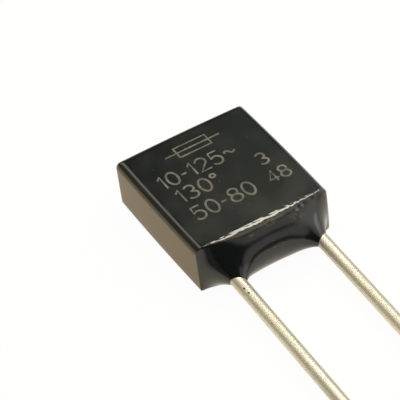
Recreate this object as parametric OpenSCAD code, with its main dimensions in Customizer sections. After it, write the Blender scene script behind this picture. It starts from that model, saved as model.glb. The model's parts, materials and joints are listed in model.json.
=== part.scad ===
// Radial thermal fuse: a moulded cup with two tinned leads, potted with resin at the mouth.
// The fuse lies on one wide face. X runs across it, Y towards the closed back, Z up.
// The origin is the centre of the face that it lies on.

/* [Case] */
// Width of the case, across the leads
case_w = 8.5; // [8:0.1:12]
// Length of the case, from the rim of its mouth to its closed back
case_l = 9; // [8:0.1:14]
// Thickness of the case, which lies on its wide face
case_t = 3.2; // [3:0.05:4.5]
// Radius of the outer edges
edge_r = 0.4; // [0.2:0.05:0.7]
// Wall round the mouth
wall = 0.55; // [0.4:0.05:0.65]
// Thickness of the closed back
back_wall = 0.6; // [0.4:0.05:1]
// Radius of the edges inside the mouth
cavity_r = 0.2; // [0.1:0.05:0.5]

/* [Leads] */
// Diameter of the lead wire
lead_d = 0.8; // [0.6:0.05:0.9]
// Distance between the two leads
lead_pitch = 5.4; // [4.5:0.1:5.6]
// Length of a lead beyond the rim of the mouth
lead_out = 16.8; // [12:0.1:40]
// Slope of a lead inside the case, in degrees
lead_dip = 2.65; // [2:0.05:3]
// Bare wire between the climb and the dipped free stretch, where a lead bends slightly
bend_clear = 0.2; // [0.15:0.05:1.5]
// Thickness of the solder coat in which the free stretch is dipped
dip_coat = 0.01; // [0.005:0.005:0.03]

/* [Seal] */
// Depth of the resin inside the mouth
plug_depth = 2.6; // [1.5:0.1:3.5]
// Height of the resin dome beyond the rim, midway between the leads
dome_h = 1.24; // [0.8:0.01:1.6]
// Height to which the resin climbs a lead
climb_h = 1.84; // [1.4:0.01:2.4]
// Distance over which the climb dies away from a lead
climb_reach = 0.85; // [0.4:0.05:1.2]
// Gap between the facets of the seal's bores and the round wire
bore_gap = 0.01; // [0.005:0.005:0.03]

/* [Fusible link] */
// Distance of the link's axis from the mouth
link_depth = 5.6; // [4.8:0.1:6.2]
// Diameter of the alloy bridge
link_d = 0.9; // [0.6:0.05:1]
// Alloy round a lead tip
bulb_wall = 0.25; // [0.15:0.01:0.3]

/* [Flux coat] */
// Air between the flux coat and the cavity
flux_gap = 0.15; // [0.1:0.01:0.25]
// Radius of the flux coat's end edges
flux_end_r = 0.5; // [0.2:0.05:0.7]

/* [Hidden] */
$fn = 64;

mouth_y = -case_l / 2;
back_y = case_l / 2;
mid_z = case_t / 2;
cavity_w = case_w - 2 * wall;
cavity_t = case_t - 2 * wall;
cavity_l = case_l - back_wall;
link_y = mouth_y + link_depth;
bulb_d = lead_d + 2 * bulb_wall;
flux_d = cavity_t - 2 * flux_gap;
flux_l = cavity_w - 2 * flux_gap;

// A lead slopes down from the link, and bends so far that its cut end comes to lie on the floor
bend_y = mouth_y - climb_h - bend_clear;
bend_z = mid_z - (link_y - bend_y) * tan(lead_dip);
inner_l = (link_y - bend_y) / cos(lead_dip);
free_l = lead_out - climb_h - bend_clear;
droop = asin(bend_z / norm([free_l, lead_d / 2])) - atan(lead_d / 2 / free_l);

// Wire under the solder coat, and how far it runs on into the free stretch beyond the bend
core_d = lead_d - 2 * dip_coat;
core_lap = 0.2;

// Powers that shape the dome: flat in the middle, with hips that flare out to the case's corners
hip_power = 3.2;
hip_flare = 2.5;
// Power of the hip that is left in the climb, which stays nearly level round a lead
climb_hip = 0.26;
// Spacing of the seal's skin: along the middle line, the rim, a corner and a side, and from bore to rim
mid_n = 8;
rim_n = 10;
arc_n = 3;
side_n = 6;
dome_n = 8;

// Rectangle with four round corners, centred
module round_rect(w, h, r) {
    square([w - 2 * r, h], center = true);
    square([w, h - 2 * r], center = true);
    for (x = [-1, 1], y = [-1, 1])
        translate([x * (w / 2 - r), y * (h / 2 - r)]) circle(r);
}

// Rectangle that ends square at its near side and has round corners at its far side, centred
module round_far_rect(w, l, r) {
    translate([-w / 2, -l / 2]) square([w, l - r]);
    translate([-w / 2 + r, -l / 2]) square([w - 2 * r, l]);
    for (x = [-1, 1])
        translate([x * (w / 2 - r), l / 2 - r]) circle(r);
}

// Front, plan and side outlines of the case, which meet in its rounded edges
module case_form() {
    intersection() {
        translate([0, back_y, mid_z])
            rotate([90, 0, 0]) linear_extrude(case_l) round_rect(case_w, case_t, edge_r);
        linear_extrude(case_t) round_far_rect(case_w, case_l, edge_r);
        translate([-case_w / 2, 0, mid_z])
            rotate([0, 90, 0]) linear_extrude(case_w) round_far_rect(case_t, case_l, edge_r);
    }
}

// Room inside the case, from the mouth to the closed back
module cavity_form() {
    translate([0, mouth_y + cavity_l, mid_z])
        rotate([90, 0, 0]) linear_extrude(cavity_l) round_rect(cavity_w, cavity_t, cavity_r);
}

module case() {
    color([0.12, 0.12, 0.11])
        difference() {
            case_form();
            cavity_form();
        }
}

// One lead: bare wire from the link through the seal, then the dipped stretch to the cut end
module lead_form(side) {
    translate([side * lead_pitch / 2, link_y, mid_z])
        rotate([90 + lead_dip, 0, 0]) cylinder(d = core_d, h = inner_l + core_lap);
    translate([side * lead_pitch / 2, bend_y, bend_z])
        rotate([90 + droop, 0, 0]) cylinder(d = lead_d, h = free_l);
}

module leads_form() {
    for (side = [-1, 1])
        lead_form(side);
}

module lead_left() {
    color([0.82, 0.79, 0.7]) lead_form(-1);
}

module lead_right() {
    color([0.82, 0.79, 0.7]) lead_form(1);
}

// Half the thickness of the case's outline at x
function half_t(x) =
    let (into_corner = max(0, abs(x) - (case_w / 2 - edge_r)))
    mid_z - edge_r + sqrt(max(0, edge_r * edge_r - into_corner * into_corner));

// Share of the dome that is left over the thickness, from 1 at mid thickness to 0 at the rim
function crown(x, z) = sqrt(max(0, 1 - pow(z / half_t(x), 2)));

// Share of the dome that is left across the case, from 1 in the middle to 0 at the rim
function hip(x) = pow(max(0, 1 - pow(abs(2 * x / case_w), hip_power)), hip_flare);

// Place of a lead's axis against mid thickness, at a height beyond the rim
function lead_z(height) = -(link_depth + height) * tan(lead_dip);
climb_z = lead_z(climb_h);

// Share of the climb at a point of the mouth, from 1 at a lead, counted from both leads
function climb(x, z) =
    let (
        near = norm([abs(x) - lead_pitch / 2, z - climb_z]) - core_d / 2,
        far = norm([abs(x) + lead_pitch / 2, z - climb_z]) - core_d / 2
    )
    min(1, exp(-max(0, near) / climb_reach) + exp(-max(0, far) / climb_reach));

// Height of the resin beyond the rim
function dome(x, z) =
    let (share = climb(x, z), level = pow(hip(x) / hip(lead_pitch / 2), climb_hip))
    crown(x, z) * (dome_h * hip(x) * (1 - share) + climb_h * level * share);

// Right half of a rounded outline, from the top of its middle line down and round again
function half_outline(w, t, r) = concat(
    [for (i = [0 : mid_n]) [0, t / 2 - t * i / mid_n]],
    [for (i = [1 : rim_n]) [(w / 2 - r) * i / rim_n, -t / 2]],
    [for (i = [1 : arc_n]) [w / 2 - r + r * sin(90 * i / arc_n), -t / 2 + r - r * cos(90 * i / arc_n)]],
    [for (i = [1 : side_n]) [w / 2, -t / 2 + r + (t - 2 * r) * i / side_n]],
    [for (i = [1 : arc_n]) [w / 2 - r + r * cos(90 * i / arc_n), t / 2 - r + r * sin(90 * i / arc_n)]],
    [for (i = [1 : rim_n - 1]) [(w / 2 - r) * (1 - i / rim_n), t / 2]]
);

outer_edge = half_outline(case_w, case_t, edge_r);
plug_edge = half_outline(cavity_w, cavity_t, cavity_r);
ray_n = len(outer_edge);
// Levels of one ray: the dome's surface, then the plug's wall at both ends, then the foot of the bore
level_n = dome_n + 4;

// Edge of the right lead's bore on the ray to point k of the outline, at a height beyond the rim
function bore_edge(k, height) =
    let (out = outer_edge[k] - [lead_pitch / 2, climb_z])
    [lead_pitch / 2, lead_z(height)] + out * (core_d / 2 + bore_gap) / norm(out);

// The same edge where the bore comes out of the resin
function bore_mouth(k) =
    let (p = bore_edge(k, climb_h))
    bore_edge(k, dome(p[0], p[1]));

function on_mid_line(k) = k > 0 && k < mid_n;

// Point of the right half of the seal on ray k, at one level of that ray
function seal_point(k, level) =
    let (
        share = (1 - cos(180 * min(level, dome_n) / dome_n)) / 2,
        p = bore_mouth(k) * (1 - share) + outer_edge[k] * share,
        on_rim = level == dome_n && !on_mid_line(k),
        flat = level <= dome_n ? p : level == dome_n + 3 ? bore_edge(k, -plug_depth) : plug_edge[k],
        depth = level <= dome_n ? (on_rim ? 0 : -dome(p[0], p[1])) : level == dome_n + 1 ? 0 : plug_depth
    )
    [flat[0], mouth_y + depth, mid_z + flat[1]];

// Index of a point of the right or left half; the halves share the points of the middle line
function seal_index(k, level, left) =
    let (on_seam = k <= mid_n && level >= dome_n && level <= dome_n + 2)
    (left && !on_seam ? ray_n * level_n : 0) + k * level_n + level;

// Quads between neighbouring rays, left open where the two halves join
function seal_quads(left) = [
    for (k = [0 : ray_n - 1], level = [0 : level_n - 1])
        let (k2 = (k + 1) % ray_n, level2 = (level + 1) % level_n)
        if (k >= mid_n || level < dome_n || level > dome_n + 1)
            [for (c = [[k, level], [k2, level], [k2, level2], [k, level2]]) seal_index(c[0], c[1], left)]
];

// Resin plug and dome as one skin: rays from each bore, over the dome, the rim and the plug
module seal() {
    right = [for (k = [0 : ray_n - 1], level = [0 : level_n - 1]) seal_point(k, level)];
    left = [for (p = right) [-p[0], p[1], p[2]]];
    quads = concat(seal_quads(false), [for (q = seal_quads(true)) [q[3], q[2], q[1], q[0]]]);
    faces = [for (q = quads, half = [[0, 1, 2], [0, 2, 3]]) [for (i = half) q[i]]];
    color([0.08, 0.08, 0.08])
        polyhedron(points = concat(right, left), faces = faces, convexity = 6);
}

// Alloy bridge across the lead tips, thickened where it wets them
module link_form() {
    translate([0, link_y, mid_z]) {
        rotate([0, 90, 0]) cylinder(d = link_d, h = lead_pitch, center = true);
        for (side = [-1, 1])
            translate([side * lead_pitch / 2, 0, 0]) sphere(d = bulb_d);
    }
}

module fusible_link() {
    color([0.66, 0.67, 0.7])
        difference() {
            link_form();
            leads_form();
        }
}

// Resin bar round the link, turned about the link's axis
module flux_coat() {
    color([0.75, 0.55, 0.25])
        difference() {
            translate([0, link_y, mid_z])
                rotate([0, 90, 0]) rotate_extrude() intersection() {
                    round_rect(flux_d, flux_l, flux_end_r);
                    translate([0, -flux_l / 2]) square([flux_d / 2, flux_l]);
                }
            link_form();
            leads_form();
        }
}

case();
seal();
lead_left();
lead_right();
fusible_link();
flux_coat();
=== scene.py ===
"""Dresses a radial thermal fuse: a glossy moulded case, its potting resin, two tinned leads and a laser mark.

Pieces are modelled in millimetres and brought to metres when they are finished.
"""
import json
import logging
import math
from collections.abc import Callable, Iterator, Sequence
from contextlib import contextmanager
from dataclasses import dataclass, field
from enum import Enum
from typing import ClassVar

import bmesh
import bpy
from mathutils import Matrix, Vector, noise


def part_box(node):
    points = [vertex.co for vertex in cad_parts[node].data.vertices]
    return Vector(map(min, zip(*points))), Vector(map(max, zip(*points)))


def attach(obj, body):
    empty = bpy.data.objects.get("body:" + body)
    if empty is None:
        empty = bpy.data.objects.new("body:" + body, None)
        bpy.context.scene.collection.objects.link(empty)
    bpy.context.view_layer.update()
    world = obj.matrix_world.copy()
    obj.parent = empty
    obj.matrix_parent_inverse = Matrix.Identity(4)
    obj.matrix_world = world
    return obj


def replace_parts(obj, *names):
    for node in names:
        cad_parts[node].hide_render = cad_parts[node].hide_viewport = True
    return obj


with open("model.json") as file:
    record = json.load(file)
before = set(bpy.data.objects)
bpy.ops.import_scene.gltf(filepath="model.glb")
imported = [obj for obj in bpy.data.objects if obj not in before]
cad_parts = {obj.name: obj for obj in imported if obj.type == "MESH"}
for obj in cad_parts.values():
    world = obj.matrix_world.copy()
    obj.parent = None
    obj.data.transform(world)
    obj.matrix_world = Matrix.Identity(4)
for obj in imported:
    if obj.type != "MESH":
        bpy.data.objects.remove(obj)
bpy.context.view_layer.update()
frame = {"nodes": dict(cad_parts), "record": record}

MM = 0.001
BODY = "root"
# Places closer than this, in millimetres, count as one.
TOUCHING = 1e-4
# A face whose normal has at least this cosine with a direction counts as facing it.
FACING = 0.9
# Degrees between two points of an arc, and the fewest steps of one.
ARC_STEP = 15
ARC_STEPS = 4
log = logging.getLogger("fuse")

Pair = tuple[float, float]
Triple = tuple[float, float, float]
Span = tuple[float, float, float, float]
Colour = tuple[float, float, float, float]
Socket = bpy.types.NodeSocket


class Side(Enum):
    """The two leads, by the sign of their X."""

    LEFT = -1
    RIGHT = 1


class Slot(Enum):
    """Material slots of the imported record."""

    CASE = "case_plastic"
    SEAL = "seal_resin"
    WIRE = "tinned_wire"


def in_mm(vector: Vector) -> Vector:
    """Returns a place of the frame in millimetres."""
    return Vector(vector) / MM


def direction(azimuth: float, elevation: float) -> Vector:
    """Points a unit vector.

    Args:
        azimuth: Turn from +X towards +Y, in degrees.
        elevation: Lift above the floor, in degrees.

    Returns:
        The unit vector.
    """
    turn = math.radians(azimuth)
    lift = math.radians(elevation)
    return Vector((math.cos(turn) * math.cos(lift), math.sin(turn) * math.cos(lift), math.sin(lift)))


def smooth_step(low: float, high: float, value: float) -> float:
    """Blends from 0 at low to 1 at high with level ends.

    Args:
        low: Value at which the blend starts.
        high: Value at which it is complete.
        value: Value to blend.

    Returns:
        The share, from 0 to 1.
    """
    share = min(1.0, max(0.0, (value - low) / (high - low)))
    return share * share * (3 - 2 * share)


def plateau(span: Sequence[float], value: float) -> float:
    """Rises from 0 to 1 over the first two places of a span and falls back over the last two.

    Args:
        span: Start of the rise, its end, start of the fall and its end.
        value: Place to look at.

    Returns:
        The share, from 0 to 1.
    """
    start, full, level, end = span
    return smooth_step(start, full, value) * (1 - smooth_step(level, end, value))


def deselect() -> None:
    """Leaves nothing selected, in object mode."""
    if bpy.context.object and bpy.context.object.mode != "OBJECT":
        bpy.ops.object.mode_set(mode="OBJECT")
    bpy.ops.object.select_all(action="DESELECT")


def take(obj: bpy.types.Object) -> None:
    """Selects one object alone and makes it active."""
    deselect()
    obj.select_set(True)
    bpy.context.view_layer.objects.active = obj


@contextmanager
def editing(obj: bpy.types.Object) -> Iterator[None]:
    """Opens one object in edit mode with nothing selected.

    Args:
        obj: Mesh object to shape.

    Yields:
        Nothing; operators act on the mesh until the block ends.
    """
    take(obj)
    bpy.ops.object.mode_set(mode="EDIT")
    bpy.ops.mesh.select_all(action="DESELECT")
    yield
    bpy.ops.object.mode_set(mode="OBJECT")


def pick_faces(obj: bpy.types.Object, wanted: Callable[[bmesh.types.BMFace], bool]) -> None:
    """Selects only the faces of the open mesh that pass a test.

    Args:
        obj: Object in edit mode.
        wanted: Test of one face.
    """
    bpy.ops.mesh.select_mode(type="FACE")
    mesh = bmesh.from_edit_mesh(obj.data)
    for face in mesh.faces:
        face.select_set(wanted(face))
    bmesh.update_edit_mesh(obj.data)


def pick_edges(obj: bpy.types.Object, wanted: Callable[[Vector, Vector], bool]) -> None:
    """Selects only the edges of the open mesh whose two ends pass a test.

    Args:
        obj: Object in edit mode.
        wanted: Test of the places of an edge's ends.
    """
    bpy.ops.mesh.select_mode(type="EDGE")
    bpy.ops.mesh.select_all(action="DESELECT")
    mesh = bmesh.from_edit_mesh(obj.data)
    for edge in mesh.edges:
        edge.select_set(wanted(edge.verts[0].co, edge.verts[1].co))
    bmesh.update_edit_mesh(obj.data)


def apply_modifier(obj: bpy.types.Object, kind: str, **settings: object) -> None:
    """Adds a modifier with its settings and applies it.

    Args:
        obj: Object to change.
        kind: Modifier type.
        settings: Properties of the modifier.
    """
    take(obj)
    modifier = obj.modifiers.new(kind.lower(), kind)
    for name, value in settings.items():
        setattr(modifier, name, value)
    bpy.ops.object.modifier_apply(modifier=modifier.name)


def finish_piece(
    obj: bpy.types.Object, name: str, material: bpy.types.Material, smooth_deg: float = 40
) -> bpy.types.Object:
    """Brings a piece from millimetres to metres, shades it and lets it ride on the fuse.

    Args:
        obj: Finished mesh, in millimetres.
        name: Name of the piece.
        material: Its material.
        smooth_deg: Edges flatter than this angle are shaded smooth.

    Returns:
        The same object.
    """
    take(obj)
    obj.name = name
    obj.data.name = name
    obj.scale = (MM, MM, MM)
    bpy.ops.object.transform_apply(location=True, rotation=True, scale=True)
    bpy.ops.object.shade_smooth_by_angle(angle=math.radians(smooth_deg))
    obj.data.materials.clear()
    obj.data.materials.append(material)
    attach(obj, BODY)
    log.info("%s: %d faces", name, len(obj.data.polygons))
    return obj


class Nodes:
    """Short hand for building one node tree."""

    def __init__(self, tree: bpy.types.NodeTree) -> None:
        """Keeps the tree that nodes are added to."""
        self.tree = tree

    def fill(self, node: bpy.types.Node, inputs: dict) -> None:
        """Sets or links inputs of a node.

        Args:
            node: Node to fill.
            inputs: Values or output sockets by input name or index.
        """
        for name, value in inputs.items():
            if isinstance(value, Socket):
                self.tree.links.new(value, node.inputs[name])
            else:
                node.inputs[name].default_value = value

    def add(self, kind: str, inputs: dict | None = None, **settings: object) -> bpy.types.Node:
        """Adds a node, sets its properties and fills its inputs.

        Args:
            kind: Node type.
            inputs: Values or output sockets by input name or index.
            settings: Properties of the node.

        Returns:
            The new node.
        """
        node = self.tree.nodes.new(kind)
        for name, value in settings.items():
            setattr(node, name, value)
        self.fill(node, inputs or {})
        return node

    def math(self, operation: str, *values: object) -> Socket:
        """Returns the result of a math node on up to three values."""
        return self.add("ShaderNodeMath", dict(enumerate(values)), operation=operation).outputs[0]

    def vector(self, operation: str, *values: object) -> Socket:
        """Returns the vector that a vector math node makes of up to two vectors."""
        return self.add("ShaderNodeVectorMath", dict(enumerate(values)), operation=operation).outputs[0]

    def measure(self, operation: str, *values: object) -> Socket:
        """Returns the number that a vector math node makes of up to two vectors."""
        return self.add("ShaderNodeVectorMath", dict(enumerate(values)), operation=operation).outputs["Value"]

    def clouds(self, place: object, scale: object, detail: float) -> Socket:
        """Returns cloudy noise round a half."""
        return self.add("ShaderNodeTexNoise", {"Vector": place, "Scale": scale, "Detail": detail}).outputs[0]

    def mapped(
        self, value: object, low: float, high: float, to_low: float = 0.0, to_high: float = 1.0
    ) -> Socket:
        """Moves a value smoothly from one range to another.

        Args:
            value: Socket to map.
            low: Start of the range that it comes from.
            high: End of that range.
            to_low: What the start becomes.
            to_high: What the end becomes.

        Returns:
            The mapped socket.
        """
        inputs = {"Value": value, "From Min": low, "From Max": high, "To Min": to_low, "To Max": to_high}
        return self.add("ShaderNodeMapRange", inputs, interpolation_type="SMOOTHSTEP").outputs["Result"]

    def mix(self, share: object, first: object, second: object) -> Socket:
        """Returns a colour between two colours."""
        return self.add("ShaderNodeMix", {0: share, 6: first, 7: second}, data_type="RGBA").outputs[2]


def new_group(
    name: str, inputs: dict[str, float | tuple], outputs: dict[str, str]
) -> tuple[Nodes, dict, dict]:
    """Starts a shader node group.

    Args:
        name: Name of the group.
        inputs: Default value by input name; a tuple makes a vector.
        outputs: Socket type by output name.

    Returns:
        The group's nodes, its input sockets by name and its output sockets by name.
    """
    tree = bpy.data.node_groups.new(name, "ShaderNodeTree")
    for label, value in inputs.items():
        kind = "NodeSocketVector" if isinstance(value, tuple) else "NodeSocketFloat"
        tree.interface.new_socket(label, in_out="INPUT", socket_type=kind).default_value = value
    for label, kind in outputs.items():
        tree.interface.new_socket(label, in_out="OUTPUT", socket_type=kind)
    entry = tree.nodes.new("NodeGroupInput")
    leave = tree.nodes.new("NodeGroupOutput")
    return Nodes(tree), {s.name: s for s in entry.outputs}, {s.name: s for s in leave.inputs}


class SharedEffects:
    """Node groups that several finishes place with their own values."""

    BLOTCH: ClassVar[Pair] = (0.35, 0.65)
    SMALLEST_SPECK: ClassVar[float] = 0.3
    SPECK_EDGE: ClassVar[float] = 0.5

    def __init__(self) -> None:
        """Builds each group once."""
        self.grain = self.grain_group()
        self.specks = self.specks_group()

    def grain_group(self) -> bpy.types.NodeTree:
        """Returns a group that gives uneven skin: a slow swell with fine grain on it."""
        nodes, inside, out = new_group(
            "uneven_skin",
            {"Place": (0.0, 0.0, 0.0), "Swell Scale": 1.0, "Grain Scale": 8.0, "Grain Share": 0.2},
            {"Height": "NodeSocketFloat", "Blotch": "NodeSocketFloat"},
        )
        swell = nodes.clouds(inside["Place"], inside["Swell Scale"], detail=2.0)
        grain = nodes.clouds(inside["Place"], inside["Grain Scale"], detail=3.0)
        fine = nodes.math("MULTIPLY", grain, inside["Grain Share"])
        nodes.tree.links.new(nodes.math("ADD", swell, fine), out["Height"])
        nodes.tree.links.new(nodes.mapped(swell, *self.BLOTCH), out["Blotch"])
        return nodes.tree

    def specks_group(self) -> bpy.types.NodeTree:
        """Returns a group that gives small scattered spots, such as dust or pits."""
        nodes, inside, out = new_group(
            "specks",
            {"Place": (0.0, 0.0, 0.0), "Scale": 3.0, "Cover": 0.3, "Radius": 0.1},
            {"Mask": "NodeSocketFloat"},
        )
        cells = nodes.add("ShaderNodeTexVoronoi", {"Vector": inside["Place"], "Scale": inside["Scale"]})
        split = nodes.add("ShaderNodeSeparateColor", {"Color": cells.outputs["Color"]})
        chosen = nodes.math("LESS_THAN", split.outputs[0], inside["Cover"])
        share = nodes.math("ADD", split.outputs[1], self.SMALLEST_SPECK)
        size = nodes.math("MULTIPLY", inside["Radius"], share)
        near = nodes.math("SUBTRACT", 1.0, nodes.math("DIVIDE", cells.outputs["Distance"], size))
        spot = nodes.mapped(near, 0.0, self.SPECK_EDGE)
        nodes.tree.links.new(nodes.math("MULTIPLY", spot, chosen), out["Mask"])
        return nodes.tree

    def skin(
        self, nodes: Nodes, place: Socket, swell: float, grain: float, share: float
    ) -> dict[str, Socket]:
        """Places the uneven skin in a material.

        Args:
            nodes: Nodes of the material.
            place: Place on the piece.
            swell: Scale of the slow swell.
            grain: Scale of the fine grain.
            share: Height of the grain against the swell.

        Returns:
            The skin's Height and its Blotch.
        """
        inputs = {"Place": place, "Swell Scale": swell, "Grain Scale": grain, "Grain Share": share}
        placed = nodes.add("ShaderNodeGroup", inputs, node_tree=self.grain)
        return {socket.name: socket for socket in placed.outputs}

    def dots(self, nodes: Nodes, place: Socket, scale: float, cover: float, radius: float) -> Socket:
        """Places scattered specks in a material.

        Args:
            nodes: Nodes of the material.
            place: Place on the piece.
            scale: How close the specks may lie.
            cover: Share of the places that hold a speck.
            radius: Size of the largest.

        Returns:
            The mask of the specks.
        """
        inputs = {"Place": place, "Scale": scale, "Cover": cover, "Radius": radius}
        return nodes.add("ShaderNodeGroup", inputs, node_tree=self.specks).outputs["Mask"]


def new_material(name: str) -> tuple[bpy.types.Material, Nodes, bpy.types.Node, Socket]:
    """Starts a material with a Principled shader.

    Args:
        name: Name of the material.

    Returns:
        The material, its nodes, its shader and the place on the piece in millimetres.
    """
    material = bpy.data.materials.new(name)
    material.use_nodes = True
    nodes = Nodes(material.node_tree)
    place = nodes.add("ShaderNodeTexCoord").outputs["Object"]
    scaled = nodes.add("ShaderNodeVectorMath", {0: place, "Scale": 1 / MM}, operation="SCALE")
    return material, nodes, material.node_tree.nodes["Principled BSDF"], scaled.outputs["Vector"]


def bump(nodes: Nodes, height: Socket, depth_mm: float) -> Socket:
    """Returns the normal of a surface that rises and falls with a height.

    Args:
        nodes: Nodes of the material.
        height: Height, from 0 to about 1.
        depth_mm: What a height of 1 measures.

    Returns:
        The bumped normal.
    """
    inputs = {"Strength": 1.0, "Distance": depth_mm * MM, "Height": height}
    return nodes.add("ShaderNodeBump", inputs).outputs["Normal"]


@dataclass(frozen=True)
class Spot:
    """One spot of dirt or a pit, in millimetres; a squeeze below 1 draws it out along that axis."""

    place: Triple
    radius: float
    squeeze: Triple = (1.0, 1.0, 1.0)
    core: float = 0.5

    def over(self, nodes: Nodes, place: Socket, mask: object) -> Socket:
        """Adds the spot to a mask.

        Args:
            nodes: Nodes of the material.
            place: Place on the piece.
            mask: Mask of the spots so far.

        Returns:
            The mask with the spot.
        """
        drawn = nodes.vector("MULTIPLY", nodes.vector("SUBTRACT", place, self.place), self.squeeze)
        spot = nodes.mapped(nodes.measure("LENGTH", drawn), self.radius, self.radius * self.core)
        return nodes.math("MAXIMUM", mask, spot)


@dataclass(frozen=True)
class MouldedPlastic:
    """Glossy black thermoset: a faint swell, fine grain, dust and dull patches."""

    colour: Colour = (0.0065, 0.0085, 0.0075, 1.0)
    worn_colour: Colour = (0.0105, 0.0115, 0.0098, 1.0)
    dust_colour: Colour = (0.11, 0.105, 0.09, 1.0)
    gloss: float = 0.15
    dull: float = 0.19
    ior: float = 1.6
    skin_depth: float = 0.004

    def material(self, effects: SharedEffects) -> bpy.types.Material:
        """Builds the material.

        Args:
            effects: Shared node groups.

        Returns:
            The material of the case.
        """
        material, nodes, shader, place = new_material("moulded_black_plastic")
        skin = effects.skin(nodes, place, swell=0.55, grain=14.0, share=0.05)
        dust = effects.dots(nodes, place, scale=3.2, cover=0.16, radius=0.11)
        tone = nodes.mix(skin["Blotch"], self.colour, self.worn_colour)
        inputs = {
            "Base Color": nodes.mix(dust, tone, self.dust_colour),
            "Roughness": nodes.mapped(skin["Blotch"], 0.0, 1.0, self.gloss, self.dull),
            "Normal": bump(nodes, skin["Height"], self.skin_depth),
            "IOR": self.ior,
        }
        nodes.fill(shader, inputs)
        return material


@dataclass(frozen=True)
class PottingResin:
    """Black epoxy that set with a wet gloss, a few pinholes and a few lighter patches of painted reflection.
    """

    colour: Colour = (0.0045, 0.0052, 0.0054, 1.0)
    pit_colour: Colour = (0.06, 0.058, 0.05, 1.0)
    # Painted reflection: a lighter brownish colour laid in a few patches below the rim and at the right hip.
    painted_reflection_colour: Colour = (0.042, 0.034, 0.026, 1.0)
    pits: tuple[Spot, ...] = (
        Spot((-0.01, -5.667, 2.355), 0.05),
        Spot((-0.07, -5.813, 1.975), 0.06),
        Spot((-1.05, -5.17, 2.95), 0.05, (0.25, 1.0, 1.0)),
    )
    # Patches of painted reflection, by place, size and stretch.
    painted_reflections: tuple[Spot, ...] = (
        Spot((1.8, -5.25, 2.9), 0.5, (0.8, 1.0, 1.0)),
        Spot((0.4, -4.95, 3.08), 0.3, (0.28, 1.0, 1.0)),
        Spot((3.85, -4.85, 2.3), 0.65, (1.6, 1.0, 0.55)),
    )
    gloss: float = 0.11
    dull: float = 0.15
    ior: float = 1.61
    skin_depth: float = 0.008

    def material(self, effects: SharedEffects) -> bpy.types.Material:
        """Builds the material.

        Args:
            effects: Shared node groups.

        Returns:
            The material of the seal.
        """
        material, nodes, shader, place = new_material("potting_resin")
        skin = effects.skin(nodes, place, swell=0.9, grain=6.0, share=0.06)
        pitted = effects.dots(nodes, place, scale=2.4, cover=0.12, radius=0.09)
        for pit in self.pits:
            pitted = pit.over(nodes, place, pitted)
        # Mask of the painted reflection, broken up by patchy noise.
        painted_reflection = 0.0
        for reflection_patch in self.painted_reflections:
            painted_reflection = reflection_patch.over(nodes, place, painted_reflection)
        patchy = effects.skin(nodes, place, swell=5.0, grain=14.0, share=0.4)["Blotch"]
        tone = nodes.mix(nodes.math("MULTIPLY", painted_reflection, patchy), self.colour, self.painted_reflection_colour)
        inputs = {
            "Base Color": nodes.mix(pitted, tone, self.pit_colour),
            "Roughness": nodes.mapped(skin["Blotch"], 0.0, 1.0, self.gloss, self.dull),
            "Normal": bump(nodes, skin["Height"], self.skin_depth),
            "IOR": self.ior,
        }
        nodes.fill(shader, inputs)
        return material


@dataclass(frozen=True)
class TinnedWire:
    """Drawn copper wire under a dull warm tin coat, with draw lines, painted shade along one side and dark
    specks.
    """

    colour: Colour = (0.88, 0.835, 0.70, 1.0)
    streak_colour: Colour = (0.81, 0.75, 0.60, 1.0)
    # Painted shade: a darker colour laid along one side of each wire, standing in for the darker reflection
    # on that side.
    painted_shade_colour: Colour = (0.42, 0.40, 0.325, 1.0)
    speck_colour: Colour = (0.12, 0.085, 0.055, 1.0)
    metallic: float = 0.7
    gloss: float = 0.42
    dull: float = 0.48
    draw_stretch: Triple = (5.0, 0.12, 5.0)
    spots: tuple[Spot, ...] = (
        Spot((-2.83, -7.53, 1.57), 0.085),
        Spot((-2.86, -7.12, 1.58), 0.075, (1.0, 0.7, 1.0)),
    )

    def material(self, effects: SharedEffects) -> bpy.types.Material:
        """Builds the material.

        Args:
            effects: Shared node groups.

        Returns:
            The material of both leads.
        """
        material, nodes, shader, place = new_material("tinned_copper_wire")
        drawn = nodes.vector("MULTIPLY", place, self.draw_stretch)
        lines = effects.skin(nodes, drawn, swell=0.5, grain=1.6, share=0.3)["Blotch"]
        marred = effects.dots(nodes, place, scale=1.3, cover=0.06, radius=0.07)
        for spot in self.spots:
            marred = spot.over(nodes, place, marred)
        # Share of the painted shade, fullest along one side of the wire.
        tarnish = nodes.add("ShaderNodeAttribute", attribute_name=Lead.PAINTED_SHADE).outputs["Fac"]
        tone = nodes.mix(lines, self.colour, self.streak_colour)
        tone = nodes.mix(tarnish, tone, self.painted_shade_colour)
        inputs = {
            "Base Color": nodes.mix(marred, tone, self.speck_colour),
            "Roughness": nodes.mapped(lines, 0.0, 1.0, self.gloss, self.dull),
            "Metallic": self.metallic,
        }
        nodes.fill(shader, inputs)
        return material


@dataclass(frozen=True)
class BurntPlastic:
    """Plastic that a laser foamed to a pale, dull, uneven beige."""

    colour: Colour = (0.185, 0.171, 0.133, 1.0)
    scorch: Colour = (0.103, 0.093, 0.072, 1.0)
    roughness: float = 0.7
    skin_depth: float = 0.012

    def material(self, effects: SharedEffects) -> bpy.types.Material:
        """Builds the material.

        Args:
            effects: Shared node groups.

        Returns:
            The material of the laser mark.
        """
        material, nodes, shader, place = new_material("laser_burnt_plastic")
        skin = effects.skin(nodes, place, swell=2.6, grain=16.0, share=0.6)
        inputs = {
            "Base Color": nodes.mix(skin["Blotch"], self.colour, self.scorch),
            "Roughness": self.roughness,
            "Normal": bump(nodes, skin["Height"], self.skin_depth),
        }
        nodes.fill(shader, inputs)
        return material


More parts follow.
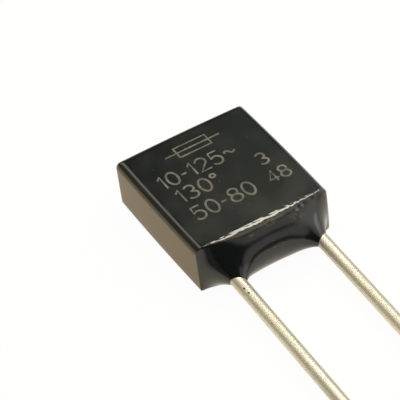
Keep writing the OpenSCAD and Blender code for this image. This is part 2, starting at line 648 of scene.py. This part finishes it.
@dataclass(frozen=True)
class InnerFinish:
    """Plain uneven finish of a piece that is sealed inside the case."""

    name: str
    colour: Colour
    shade: Colour
    metallic: float
    roughness: float
    skin_depth: float = 0.01

    def material(self, effects: SharedEffects) -> bpy.types.Material:
        """Builds the material.

        Args:
            effects: Shared node groups.

        Returns:
            The material of the piece.
        """
        material, nodes, shader, place = new_material(self.name)
        skin = effects.skin(nodes, place, swell=1.2, grain=9.0, share=0.3)
        inputs = {
            "Base Color": nodes.mix(skin["Blotch"], self.colour, self.shade),
            "Metallic": self.metallic,
            "Roughness": self.roughness,
            "Normal": bump(nodes, skin["Height"], self.skin_depth),
        }
        nodes.fill(shader, inputs)
        return material


@dataclass
class Case:
    """Moulded cup, closed at the back and open at the mouth, in millimetres."""

    width: float
    length: float
    thickness: float
    edge_radius: float = 0.48
    corner_radius: float = 0.18
    foot_radius: float = 0.15
    wall: float = 0.55
    back_wall: float = 0.6
    barrel: float = 0.05
    crown: float = 0.03
    top_sink: float = 0.012
    cuts: tuple[int, int, int] = (16, 16, 6)

    @classmethod
    def from_frame(cls) -> "Case":
        """Returns the case at the size of its solid."""
        low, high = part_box("case")
        size = in_mm(high - low)
        return cls(size.x, size.y, size.z)

    @property
    def mouth(self) -> float:
        """Y of the mouth's rim."""
        return -self.length / 2

    @property
    def middle(self) -> float:
        """Z of the middle of the thickness."""
        return self.thickness / 2

    def warp(self, place: Vector) -> Vector:
        """Bows the walls out a little in their middles, as moulded walls do.

        Args:
            place: Place on the straight-sided case.

        Returns:
            The place on the bowed case, nowhere outside the straight one.
        """
        across = min(1.0, abs(place.x) / (self.width / 2))
        along = max(-1.0, min(1.0, place.y / (self.length / 2)))
        sink = self.top_sink + self.crown * (across**2 + along**2) / 2
        x = place.x * (1 - self.barrel * along**2 / (self.width / 2))
        y = place.y - self.barrel * across**2 * max(0.0, along)
        return Vector((x, y, place.z * (1 - sink / self.thickness)))

    def build(self, material: bpy.types.Material) -> bpy.types.Object:
        """Models the cup.

        Args:
            material: Material of the case.

        Returns:
            The finished piece.
        """
        deselect()
        half = Vector((self.width / 2, self.length / 2, self.thickness / 2))
        bpy.ops.mesh.primitive_cube_add(size=1, location=(0, 0, half.z))
        cup = bpy.context.object
        cup.scale = half * 2
        bpy.ops.object.transform_apply(location=True, rotation=True, scale=True)
        with editing(cup):
            self.cut_grid(half)
            pick_faces(cup, lambda face: face.normal.y < -FACING)
            bpy.ops.mesh.inset(thickness=self.wall)
            depth = self.length - self.back_wall
            bpy.ops.mesh.extrude_region_move(TRANSFORM_OT_translate={"value": (0, depth, 0)})
            for radius in (self.edge_radius, self.corner_radius, self.foot_radius):
                pick_edges(cup, lambda a, b: self.rounding((a + b) / 2, half) == radius)
                bpy.ops.transform.edge_bevelweight(value=radius / self.edge_radius)
        apply_modifier(cup, "BEVEL", width=self.edge_radius, segments=8, limit_method="WEIGHT")
        for vertex in cup.data.vertices:
            vertex.co = self.warp(vertex.co)
        finish_piece(cup, "case_shell", material, smooth_deg=50)
        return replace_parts(cup, "case")

    def cut_grid(self, half: Vector) -> None:
        """Cuts the open cube into a grid along its three axes."""
        for axis, count in enumerate(self.cuts):
            normal = Vector((0, 0, 0))
            normal[axis] = 1
            for step in range(1, count):
                place = Vector((0, 0, half.z))
                place[axis] += half[axis] * (2 * step / count - 1)
                bpy.ops.mesh.select_all(action="SELECT")
                bpy.ops.mesh.bisect(plane_co=place, plane_no=normal)

    def rounding(self, middle: Vector, half: Vector) -> float:
        """Finds how round an edge of the cup is.

        Args:
            middle: Middle of the edge.
            half: Half of the cup's size.

        Returns:
            The radius, or 0 away from the long edges and the edges of the closed back.
        """
        side = abs(abs(middle.x) - half.x) < TOUCHING
        back = abs(middle.y - half.y) < TOUCHING
        top = abs(middle.z - 2 * half.z) < TOUCHING
        foot = abs(middle.z) < TOUCHING
        if side + back + top + foot != 2:
            return 0.0
        if foot:
            return self.foot_radius
        return self.edge_radius if top else self.corner_radius


@dataclass
class Lead:
    """One round lead in millimetres, from the fusible link through the seal and a bend to its cut end."""

    side: Side
    radius: float
    inner_tip: Vector
    bend: Vector
    outer_tip: Vector
    steps: tuple[int, int] = (8, 20)
    cut_bevel: float = 0.05
    # Turn round the wire, in degrees, where the painted shade is fullest, and how far it fades out.
    painted_shade_turn: float = 60.0
    painted_shade_spread: float = 30.0

    # Name of the point attribute that holds the share of painted shade.
    PAINTED_SHADE: ClassVar[str] = "tarnish"
    CUT_REACH: ClassVar[float] = 1.1

    @classmethod
    def from_frame(cls, side: Side) -> "Lead":
        """Reads a lead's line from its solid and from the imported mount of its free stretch.

        Args:
            side: Which of the two leads.

        Returns:
            The lead at the size and place of its solid.
        """
        node = f"lead_{side.name.lower()}"
        mount = next(m for m in frame["record"]["mounts"] if m["name"] == f"{node}_pin")
        radius = mount["dims"]["r_mm"]
        middle = in_mm(mount["pos_m"])
        reach = Vector(mount["axis"]).normalized() * (mount["dims"]["length_mm"] / 2)
        bend = middle - reach
        corner = in_mm(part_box(node)[1])
        slope = (corner.z - radius - bend.z) / (corner.y - bend.y)
        inner_tip = Vector((middle.x, corner.y - radius * slope, corner.z - radius))
        return cls(side, radius, inner_tip, bend, middle + reach)

    def height_at(self, y: float) -> float:
        """Returns the height of the wire's axis at y, inside the bend."""
        share = (y - self.inner_tip.y) / (self.bend.y - self.inner_tip.y)
        return self.inner_tip.z + share * (self.bend.z - self.inner_tip.z)

    def build(self, material: bpy.types.Material) -> bpy.types.Object:
        """Models the lead.

        Args:
            material: Material of the wire.

        Returns:
            The finished piece.
        """
        deselect()
        inner, outer = (
            (end - start) / count
            for start, end, count in zip((self.inner_tip, self.bend), (self.bend, self.outer_tip), self.steps)
        )
        bpy.ops.mesh.primitive_cylinder_add(
            vertices=64,
            radius=self.radius,
            depth=inner.length,
            location=self.inner_tip + inner / 2,
            rotation=inner.to_track_quat("Z", "X").to_euler(),
        )
        wire = bpy.context.object
        bpy.ops.object.transform_apply(location=True, rotation=True, scale=True)
        with editing(wire):
            pick_faces(wire, lambda face: face.normal.dot(inner.normalized()) > FACING)
            for step in [inner] * (self.steps[0] - 1) + [outer] * self.steps[1]:
                bpy.ops.mesh.extrude_region_move(TRANSFORM_OT_translate={"value": step})
            pick_edges(wire, lambda a, b: self.on_cut(a) and self.on_cut(b))
            bpy.ops.mesh.bevel(offset=self.cut_bevel, segments=3, profile=0.5, affect="EDGES")
        self.tarnish(wire)
        node = f"lead_{self.side.name.lower()}"
        finish_piece(wire, f"tinned_{node}", material)
        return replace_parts(wire, node)

    def tarnish(self, wire: bpy.types.Object) -> None:
        """Marks how much painted shade each point of the wire takes: most along one side."""
        shares = wire.data.attributes.new(self.PAINTED_SHADE, "FLOAT", "POINT")
        for vertex in wire.data.vertices:
            rise = vertex.co.z - self.axis_at(vertex.co.y)
            turn = math.degrees(math.atan2(rise, vertex.co.x - self.bend.x))
            unshaded = smooth_step(0, self.painted_shade_spread, abs(turn - self.painted_shade_turn))
            shares.data[vertex.index].value = 1 - unshaded

    def axis_at(self, y: float) -> float:
        """Returns the height of the wire's axis at y, on either side of the bend."""
        if y > self.bend.y:
            return self.height_at(y)
        share = (y - self.bend.y) / (self.outer_tip.y - self.bend.y)
        return self.bend.z + share * (self.outer_tip.z - self.bend.z)

    def on_cut(self, place: Vector) -> bool:
        """Returns whether a place lies on the cut end's face."""
        return (place - self.outer_tip).length < self.radius * self.CUT_REACH


@dataclass
class Seal:
    """Potting resin: a plug in the mouth and a dome that climbs the leads, in millimetres."""

    case: Case
    leads: Sequence[Lead]
    plug_depth: float = 2.6
    dome_height: float = 1.24
    climb_height: float = 1.84
    climb_reach: float = 0.85
    hip_power: float = 3.2
    hip_flare: float = 2.5
    climb_hip: float = 0.26
    sway: float = 0.012
    sway_scale: Pair = (1.1, 1.3)
    sway_start: float = 0.4
    sway_seed: float = 4.7
    rim_ripple: float = 0.008
    ripple_scale: float = 1.9
    ripple_lift: float = 0.5
    ripple_octaves: tuple[float, float, int] = (1.0, 2.2, 3)
    ripple_seed: float = 9.1
    rim_band: Span = (0.0, 0.06, 0.25, 0.6)
    rim_fullness: float = 0.08
    rim_turn: Pair = (0.6, 0.95)
    pool_fullness: float = 0.2
    pool_span: Span = (-4.0, -3.4, -2.6, -1.5)
    bead_fullness: float = 0.13
    bead_span: Span = (1.5, 1.9, 3.2, 3.6)
    bead_pitch: float = 0.45
    bead_wander: float = 2.5
    bead_scale: float = 1.3
    bead_seed: float = 2.3
    lip_height: float = 0.46
    lip_width: float = 1.05
    lip_start: Pair = (1.6, 3.2)
    lip_blend: float = 3.0
    lip_power: float = 0.6
    grid: tuple[int, int] = (340, 170)

    def half_thickness(self, x: float, over: float) -> float:
        """Returns how far the rim's outline at x reaches up, or down where over is negative."""
        radius = self.case.edge_radius if over > 0 else self.case.foot_radius
        into_corner = max(0.0, abs(x) - (self.case.width / 2 - radius))
        return self.case.middle - radius + math.sqrt(max(0.0, radius**2 - into_corner**2))

    def hip(self, x: float) -> float:
        """Returns the share of the dome that is left at x."""
        return max(0.0, 1 - abs(2 * x / self.case.width) ** self.hip_power) ** self.hip_flare

    def climb(self, x: float, z: float) -> float:
        """Returns the share of the climb at a point of the mouth, from 1 at a lead."""
        total = 0.0
        for lead in self.leads:
            rise = lead.height_at(self.case.mouth - self.climb_height) - self.case.middle
            away = math.hypot(x - lead.inner_tip.x, z - rise) - lead.radius
            total += math.exp(-max(0.0, away) / self.climb_reach)
        return min(1.0, total)

    def skin(self, across: float, over: float) -> Vector:
        """Finds a point of the dome.

        Args:
            across: Station across the case, from -1 to 1.
            over: Station over its thickness, from -1 to 1.

        Returns:
            The point, on the straight-sided case.
        """
        x = self.case.width / 2 * math.sin(math.pi / 2 * across)
        z = self.half_thickness(x, over) * math.sin(math.pi / 2 * over)
        crown = math.cos(math.pi / 2 * over) if abs(over) < 1 else 0.0
        crown **= 1 - self.fullness(x) * smooth_step(*self.rim_turn, abs(over))
        share = self.climb(x, z)
        level = (self.hip(x) / self.hip(self.leads[0].inner_tip.x)) ** self.climb_hip
        height = crown * (self.dome_height * self.hip(x) * (1 - share) + self.climb_height * level * share)
        lip = self.lip(x) * crown**self.lip_power
        height = (height**self.lip_blend + lip**self.lip_blend) ** (1 / self.lip_blend)
        swell = noise.noise(Vector((x * self.sway_scale[0], z * self.sway_scale[1], self.sway_seed)))
        sway = self.sway * swell * smooth_step(0.0, self.sway_start, height)
        sag = math.copysign(self.ripple(x, height), z)
        return Vector((x, self.case.mouth - height - sway, self.case.middle + z - sag))

    def lip(self, x: float) -> float:
        """Returns the height of the round lip of resin that ran to the right end of the mouth."""
        into_lip = max(0.0, x - (self.case.width / 2 - self.lip_width)) / self.lip_width
        return self.lip_height * smooth_step(*self.lip_start, x) * math.sqrt(max(0.0, 1 - into_lip**2))

    def ripple(self, x: float, height: float) -> float:
        """Returns how far the resin over the rim sags in ripples, at a height of the dome."""
        swell = noise.fractal(Vector((x * self.ripple_scale, height, self.ripple_seed)), *self.ripple_octaves)
        return self.rim_ripple * plateau(self.rim_band, height) * max(0.0, self.ripple_lift + swell)

    def fullness(self, x: float) -> float:
        """Finds how full the resin turns over the rim: pooled at the left and in beads at the right.

        Args:
            x: Place across the case.

        Returns:
            The share by which the turn is fuller than a plain arc.
        """
        wander = self.bead_wander * noise.noise(Vector((x * self.bead_scale, 0.0, self.bead_seed)))
        turn = 2 * math.pi * x / self.bead_pitch + wander
        beads = self.bead_fullness * plateau(self.bead_span, x) * (0.5 + 0.5 * math.sin(turn))
        return self.rim_fullness + self.pool_fullness * plateau(self.pool_span, x) + beads

    def build(self, material: bpy.types.Material) -> bpy.types.Object:
        """Models the resin.

        Args:
            material: Material of the resin.

        Returns:
            The finished piece.
        """
        deselect()
        bpy.ops.mesh.primitive_grid_add(x_subdivisions=self.grid[0], y_subdivisions=self.grid[1], size=2)
        resin = bpy.context.object
        for vertex in resin.data.vertices:
            vertex.co = self.skin(vertex.co.x, vertex.co.y)
        middle = (0, self.case.mouth, self.case.middle)
        shrink = (
            1 - 2 * self.case.wall / self.case.width,
            1,
            1 - 2 * self.case.wall / self.case.thickness,
        )
        with editing(resin):
            bpy.ops.mesh.select_mode(type="EDGE")
            bpy.ops.mesh.select_non_manifold()
            bpy.ops.mesh.extrude_region_move()
            bpy.ops.transform.resize(value=shrink, center_override=middle)
            bpy.ops.mesh.extrude_region_move(TRANSFORM_OT_translate={"value": (0, self.plug_depth, 0)})
            bpy.ops.mesh.edge_face_add()
            bpy.ops.mesh.select_all(action="SELECT")
            bpy.ops.mesh.normals_make_consistent(inside=False)
        for lead in self.leads:
            self.bore(resin, lead)
        for vertex in resin.data.vertices:
            vertex.co = self.case.warp(vertex.co)
        finish_piece(resin, "potting_seal", material, smooth_deg=50)
        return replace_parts(resin, "seal")

    def bore(self, resin: bpy.types.Object, lead: Lead) -> None:
        """Cuts the bore of one lead through the resin."""
        deselect()
        run = lead.bend - lead.inner_tip
        bpy.ops.mesh.primitive_cylinder_add(
            vertices=96,
            radius=lead.radius,
            depth=run.length,
            location=lead.inner_tip + run / 2,
            rotation=run.to_track_quat("Z", "X").to_euler(),
        )
        cutter = bpy.context.object
        bpy.ops.object.transform_apply(location=True, rotation=True, scale=True)
        apply_modifier(resin, "BOOLEAN", operation="DIFFERENCE", object=cutter, solver="EXACT")
        bpy.data.objects.remove(cutter)


class Glyph(Enum):
    """Plain signs that the laser writes, in a cell one unit high."""

    FUSE = "fuse"
    DASH = "dash"
    DEGREE = "degree"
    WAVE = "wave"
    ZERO = "0"
    ONE = "1"
    TWO = "2"
    THREE = "3"
    FOUR = "4"
    FIVE = "5"
    EIGHT = "8"

    @property
    def width(self) -> float:
        """Width of the sign's cell."""
        narrow = {Glyph.DASH: 0.3, Glyph.DEGREE: 0.3, Glyph.ONE: 0.22}
        return 3.1 if self is Glyph.FUSE else narrow.get(self, 0.58)

    def strokes(self) -> list[list[Pair]]:
        """Returns the sign's pen strokes as points in its cell."""
        return {
            Glyph.FUSE: [
                [(0, 0.5), (3.1, 0.5)],
                [(0.65, 0.12), (2.45, 0.12), (2.45, 0.88), (0.65, 0.88), (0.65, 0.12)],
            ],
            Glyph.DASH: [[(0, 0.46), (0.28, 0.46)]],
            Glyph.DEGREE: [arc(0.15, 0.85, 0.14, 0.14, 0, 360)],
            Glyph.WAVE: [[(0.05 * i, 0.5 + 0.13 * math.sin(math.radians(30 * i))) for i in range(13)]],
            Glyph.ZERO: [arc(0.3, 0.5, 0.29, 0.5, 0, 360)],
            Glyph.ONE: [[(0, 0.78), (0.2, 1), (0.2, 0)]],
            Glyph.TWO: [arc(0.29, 0.71, 0.28, 0.29, 165, -38) + [(0, 0), (0.59, 0)]],
            Glyph.THREE: [arc(0.28, 0.75, 0.26, 0.25, 150, -90) + arc(0.28, 0.25, 0.3, 0.25, 90, -150)],
            Glyph.FOUR: [[(0.6, 0.26), (0, 0.26), (0.42, 1), (0.42, 0)]],
            Glyph.FIVE: [[(0.55, 1), (0.09, 1), (0.05, 0.54)] + arc(0.28, 0.32, 0.3, 0.32, 130, -150)],
            Glyph.EIGHT: [arc(0.3, 0.76, 0.25, 0.24, -90, 270), arc(0.3, 0.27, 0.3, 0.27, 90, 450)],
        }[self]


def arc(x: float, y: float, wide: float, high: float, start: float, stop: float) -> list[Pair]:
    """Walks along an ellipse.

    Args:
        x: Middle across.
        y: Middle upwards.
        wide: Half width.
        high: Half height.
        start: Angle in degrees at which the walk starts.
        stop: Angle at which it ends.

    Returns:
        Points of the arc.
    """
    count = max(ARC_STEPS, round(abs(stop - start) / ARC_STEP))
    angles = [math.radians(start + (stop - start) * i / count) for i in range(count + 1)]
    return [(x + wide * math.cos(a), y + high * math.sin(a)) for a in angles]


@dataclass(frozen=True)
class MarkRow:
    """One row of the laser mark: its signs, the left end of its foot line and its height."""

    glyphs: tuple[Glyph, ...]
    start: Pair
    height: float = 1.1


@dataclass
class LaserMark:
    """Fuse sign and plain rating numbers burnt into the top face, in millimetres."""

    case: Case
    stroke: float = 0.13
    relief: float = 0.006
    gap: float = 0.22
    rows: tuple[MarkRow, ...] = (
        MarkRow((Glyph.FUSE,), (-1.8, 2.25), 1.15),
        MarkRow(
            (Glyph.ONE, Glyph.ZERO, Glyph.DASH, Glyph.ONE, Glyph.TWO, Glyph.FIVE, Glyph.WAVE), (-3.1, 0.6)
        ),
        MarkRow((Glyph.ONE, Glyph.THREE, Glyph.ZERO, Glyph.DEGREE), (-2.8, -0.95)),
        MarkRow((Glyph.FIVE, Glyph.ZERO, Glyph.DASH, Glyph.EIGHT, Glyph.ZERO), (-2.85, -2.65)),
        MarkRow((Glyph.THREE,), (2.3, -0.95), 0.95),
        MarkRow((Glyph.FOUR, Glyph.EIGHT), (2.0, -2.55), 0.95),
    )

    def build(self, material: bpy.types.Material) -> bpy.types.Object:
        """Draws the mark with a flat pen and lays it on the top face.

        Args:
            material: Material of the burnt plastic.

        Returns:
            The finished piece.
        """
        deselect()
        pen = bpy.data.curves.new("laser_mark", "CURVE")
        pen.dimensions = "3D"
        pen.bevel_depth = self.stroke / 2
        pen.bevel_resolution = 2
        pen.use_fill_caps = True
        for row in self.rows:
            self.write(pen, row)
        mark = bpy.data.objects.new("laser_mark", pen)
        bpy.context.scene.collection.objects.link(mark)
        take(mark)
        bpy.ops.object.convert(target="MESH")
        mark = bpy.context.object
        flat = 2 * self.relief / self.stroke
        for vertex in mark.data.vertices:
            foot = self.case.warp(Vector((vertex.co.x, vertex.co.y, self.case.thickness)))
            vertex.co = foot + Vector((0, 0, vertex.co.z * flat))
        finish_piece(mark, "laser_mark", material, smooth_deg=60)
        return mark

    def write(self, pen: bpy.types.Curve, row: MarkRow) -> None:
        """Adds one row of signs to the pen's path.

        Args:
            pen: Curve that collects the strokes.
            row: Row to write.
        """
        x, y = row.start
        for glyph in row.glyphs:
            for stroke in glyph.strokes():
                spline = pen.splines.new("POLY")
                spline.points.add(len(stroke) - 1)
                for point, (u, v) in zip(spline.points, stroke):
                    point.co = (x + u * row.height, y + v * row.height, 0, 1)
            x += (glyph.width + self.gap) * row.height


@dataclass(frozen=True)
class SoftLamp:
    """A flat soft lamp that faces the fuse, with angles in degrees and lengths in millimetres.

    The azimuth runs from +X towards +Y. The glow is the brightness of its face, where 1 is white.
    """

    name: str
    azimuth: float
    elevation: float
    width: float
    height: float
    glow: float
    distance: float = 500.0
    tint: Triple = (1.0, 1.0, 1.0)
    in_gloss: bool = True

    def hang(self) -> None:
        """Adds the lamp to the scene."""
        light = bpy.data.lights.new(self.name, "AREA")
        light.shape = "RECTANGLE"
        light.size = self.width * MM
        light.size_y = self.height * MM
        light.energy = self.glow * math.pi * light.size * light.size_y
        light.color = self.tint
        lamp = bpy.data.objects.new(self.name, light)
        bpy.context.scene.collection.objects.link(lamp)
        away = direction(self.azimuth, self.elevation)
        lamp.location = away * self.distance * MM
        lamp.rotation_euler = away.to_track_quat("Z", "Y").to_euler()
        lamp.visible_glossy = self.in_gloss


@dataclass(frozen=True)
class SoftGlow:
    """A pale patch of the room round a direction, with all angles in degrees."""

    azimuth: float
    elevation: float
    full: float
    end: float
    colour: Colour

    def over(self, nodes: Nodes, way: Socket, level: object) -> Socket:
        """Lays the patch over the room.

        Args:
            nodes: Nodes of the room.
            way: Direction that is looked along.
            level: Colour of the room so far.

        Returns:
            The colour of the room with the patch.
        """
        facing = nodes.measure("DOT_PRODUCT", way, direction(self.azimuth, self.elevation))
        outer = math.cos(math.radians(self.end))
        inner = math.cos(math.radians(self.full))
        return nodes.mix(nodes.mapped(facing, outer, inner), level, self.colour)


@dataclass
class Studio:
    """Pale floor, soft lamps, a dim room and the camera of the photograph, in millimetres and degrees."""

    aim: Vector = field(default_factory=lambda: Vector((-1.2219, 0.2596, 1.6)))
    azimuth: float = -25.37
    elevation: float = 42.787
    roll: float = -8.055
    distance: float = 122.94
    lens: float = 197.47
    floor_size: float = 6000.0
    floor_colour: Colour = (0.93, 0.90, 0.84, 1.0)
    floor_gleam: Colour = (1.0, 0.93, 0.80, 1.0)
    warm_gleam: Colour = (1.0, 0.80, 0.54, 1.0)
    far_gleam: Colour = (0.14, 0.145, 0.14, 1.0)
    gleam_middle: Triple = (2.5, -3.4, 0.0)
    gleam_shape: Triple = (1.0, 0.75, 1.0)
    gleam_reach: Pair = (8.5, 15.0)
    beside_case: Pair = (-4.0, -4.4)
    behind_mouth: Pair = (-5.6, -4.4)
    floor_white: float = 0.96
    horizon: Pair = (0.0, 0.08)
    pale_way: Triple = (1.0, 1.2, 0.0)
    pale_turn: Pair = (-0.6, -0.05)
    bright_end: Colour = (1.0, 0.95, 0.85, 1.0)
    room_dim: Colour = (0.055, 0.06, 0.06, 1.0)
    # Azimuth, elevation, full and end of each patch, and its colour.
    glows: tuple[SoftGlow, ...] = (
        SoftGlow(-66, 13, 6, 22, (0.70, 0.70, 0.63, 1.0)),
        SoftGlow(-47, 49, 7, 25, (0.75, 0.72, 0.64, 1.0)),
        SoftGlow(-38, 17, 12, 26, (1.15, 1.13, 1.02, 1.0)),
        SoftGlow(10, 72, 6, 16, (1.4, 1.28, 1.0, 1.0)),
        SoftGlow(51, 42, 2, 14, (0.32, 0.33, 0.28, 1.0)),
        SoftGlow(130, 20, 10, 45, (0.25, 0.225, 0.15, 1.0)),
    )
    # Name, azimuth, elevation, width, height and glow of each lamp.
    lamps: tuple[SoftLamp, ...] = (
        SoftLamp("overhead_lamp", 20, 90, 520, 520, 1.5, distance=480, in_gloss=False),
        SoftLamp("window_lamp", 6, 32, 640, 520, 1.25),
        SoftLamp("rim_lamp", 52, 56.5, 110, 92, 12.5, tint=(1.0, 0.94, 0.77)),
        SoftLamp("back_strip", 102, 50, 180, 520, 1.75, tint=(1.0, 0.95, 0.84)),
    )

    def build(self) -> None:
        """Sets the stage: floor, room, lamps, camera and the plain view transform."""
        self.floor()
        self.room()
        for lamp in self.lamps:
            lamp.hang()
        self.camera()
        bpy.context.scene.view_settings.view_transform = "Standard"

    def floor(self) -> None:
        """Lays the floor under the fuse."""
        deselect()
        bpy.ops.mesh.primitive_plane_add(size=self.floor_size * MM)
        floor = bpy.context.object
        floor.name = "studio_floor"
        material, nodes, shader, place = new_material("pale_floor")
        nodes.fill(shader, {"Base Color": self.floor_colour, "Roughness": 0.9, "Specular IOR Level": 0.0})
        rays = nodes.add("ShaderNodeLightPath").outputs
        plain = nodes.math("MAXIMUM", rays["Is Camera Ray"], rays["Is Transmission Ray"])
        shown = nodes.math("MAXIMUM", plain, rays["Is Glossy Ray"])
        tint = nodes.mix(rays["Is Glossy Ray"], (1.0, 1.0, 1.0, 1.0), self.gleam(nodes, place))
        glow = nodes.add("ShaderNodeEmission", {"Color": tint, "Strength": 1.0})
        share = nodes.math("MULTIPLY", shown, self.floor_white)
        mixed = nodes.add("ShaderNodeMixShader", {0: share, 1: shader.outputs[0], 2: glow.outputs[0]})
        output = nodes.tree.nodes["Material Output"]
        nodes.tree.links.new(mixed.outputs[0], output.inputs["Surface"])
        floor.data.materials.append(material)

    def gleam(self, nodes: Nodes, place: Socket) -> Socket:
        """Finds how the floor shows in gloss: warm beside the case, dimmer far away.

        Args:
            nodes: Nodes of the floor's material.
            place: Place on the floor in millimetres.

        Returns:
            The colour of the floor in reflections.
        """
        drawn_in = nodes.vector("MULTIPLY", place, self.gleam_shape)
        beyond = nodes.mapped(nodes.measure("DISTANCE", drawn_in, self.gleam_middle), *self.gleam_reach)
        far = nodes.math("MULTIPLY", beyond, self.dark_share(nodes, nodes.vector("NORMALIZE", place)))
        parts = nodes.add("ShaderNodeSeparateXYZ", {0: place}).outputs
        beside = nodes.mapped(parts["X"], *self.beside_case)
        behind = nodes.mapped(parts["Y"], *self.behind_mouth)
        spread = nodes.mix(far, self.floor_gleam, self.far_gleam)
        return nodes.mix(nodes.math("MULTIPLY", beside, behind), spread, self.warm_gleam)

    def dark_share(self, nodes: Nodes, way: Socket) -> Socket:
        """Finds how dark the far end of the room is: pale only beyond the fuse's right.

        Args:
            nodes: Nodes of the floor or of the room.
            way: Direction that is looked along.

        Returns:
            The share, from 0 where the room is pale to 1 where it is dark.
        """
        facing = nodes.measure("DOT_PRODUCT", way, self.pale_way)
        return nodes.mapped(facing, *self.pale_turn, 1.0, 0.0)

    def room(self) -> None:
        """Gives the dim room its pale patches, above a dark horizon."""
        world = bpy.data.worlds.new("room")
        world.use_nodes = True
        bpy.context.scene.world = world
        nodes = Nodes(world.node_tree)
        way = nodes.add("ShaderNodeTexCoord").outputs["Generated"]
        height = nodes.add("ShaderNodeSeparateXYZ", {0: way}).outputs["Z"]
        level = self.room_dim
        for glow in self.glows:
            level = glow.over(nodes, way, level)
        below = nodes.mapped(height, *self.horizon, 1.0, 0.0)
        hidden = nodes.math("MULTIPLY", below, self.dark_share(nodes, way))
        level = nodes.mix(hidden, nodes.mix(below, level, self.bright_end), self.room_dim)
        nodes.tree.links.new(level, nodes.tree.nodes["Background"].inputs["Color"])

    def camera(self) -> None:
        """Places the camera at the photograph's angle, without lens shift."""
        roll = math.radians(self.roll)
        back = direction(self.azimuth - 90, self.elevation)
        right = direction(self.azimuth, 0)
        up = back.cross(right)
        turned_right = right * math.cos(roll) + up * math.sin(roll)
        turned_up = up * math.cos(roll) - right * math.sin(roll)
        data = bpy.data.cameras.new("photo_camera")
        data.lens = self.lens
        data.sensor_width = 36
        data.clip_start = MM
        data.clip_end = 100
        camera = bpy.data.objects.new("photo_camera", data)
        bpy.context.scene.collection.objects.link(camera)
        turn = Matrix((turned_right, turned_up, back)).transposed().to_4x4()
        camera.matrix_world = Matrix.Translation((self.aim + back * self.distance) * MM) @ turn
        bpy.context.scene.camera = camera


def dress_inside(effects: SharedEffects) -> None:
    """Finishes the two solids that are sealed inside the case.

    Args:
        effects: Shared node groups.
    """
    finishes = {
        "fusible_link": InnerFinish(
            "fusible_alloy", (0.55, 0.55, 0.57, 1), (0.4, 0.4, 0.43, 1), metallic=1.0, roughness=0.35
        ),
        "flux_coat": InnerFinish(
            "amber_flux", (0.5, 0.29, 0.07, 1), (0.36, 0.18, 0.04, 1), metallic=0.0, roughness=0.25
        ),
    }
    for name, finish in finishes.items():
        node = frame["nodes"][name]
        material = finish.material(effects)
        for index in range(len(node.material_slots)):
            node.material_slots[index].material = material


def main() -> None:
    """Builds the fuse and its stage."""
    logging.basicConfig(level=logging.INFO, format="%(name)s: %(message)s")
    effects = SharedEffects()
    case = Case.from_frame()
    case.build(MouldedPlastic().material(effects))
    leads = [Lead.from_frame(side) for side in Side]
    wire = TinnedWire().material(effects)
    for lead in leads:
        lead.build(wire)
    Seal(case, leads).build(PottingResin().material(effects))
    LaserMark(case).build(BurntPlastic().material(effects))
    dress_inside(effects)
    Studio().build()


if __name__ == "__main__":
    main()
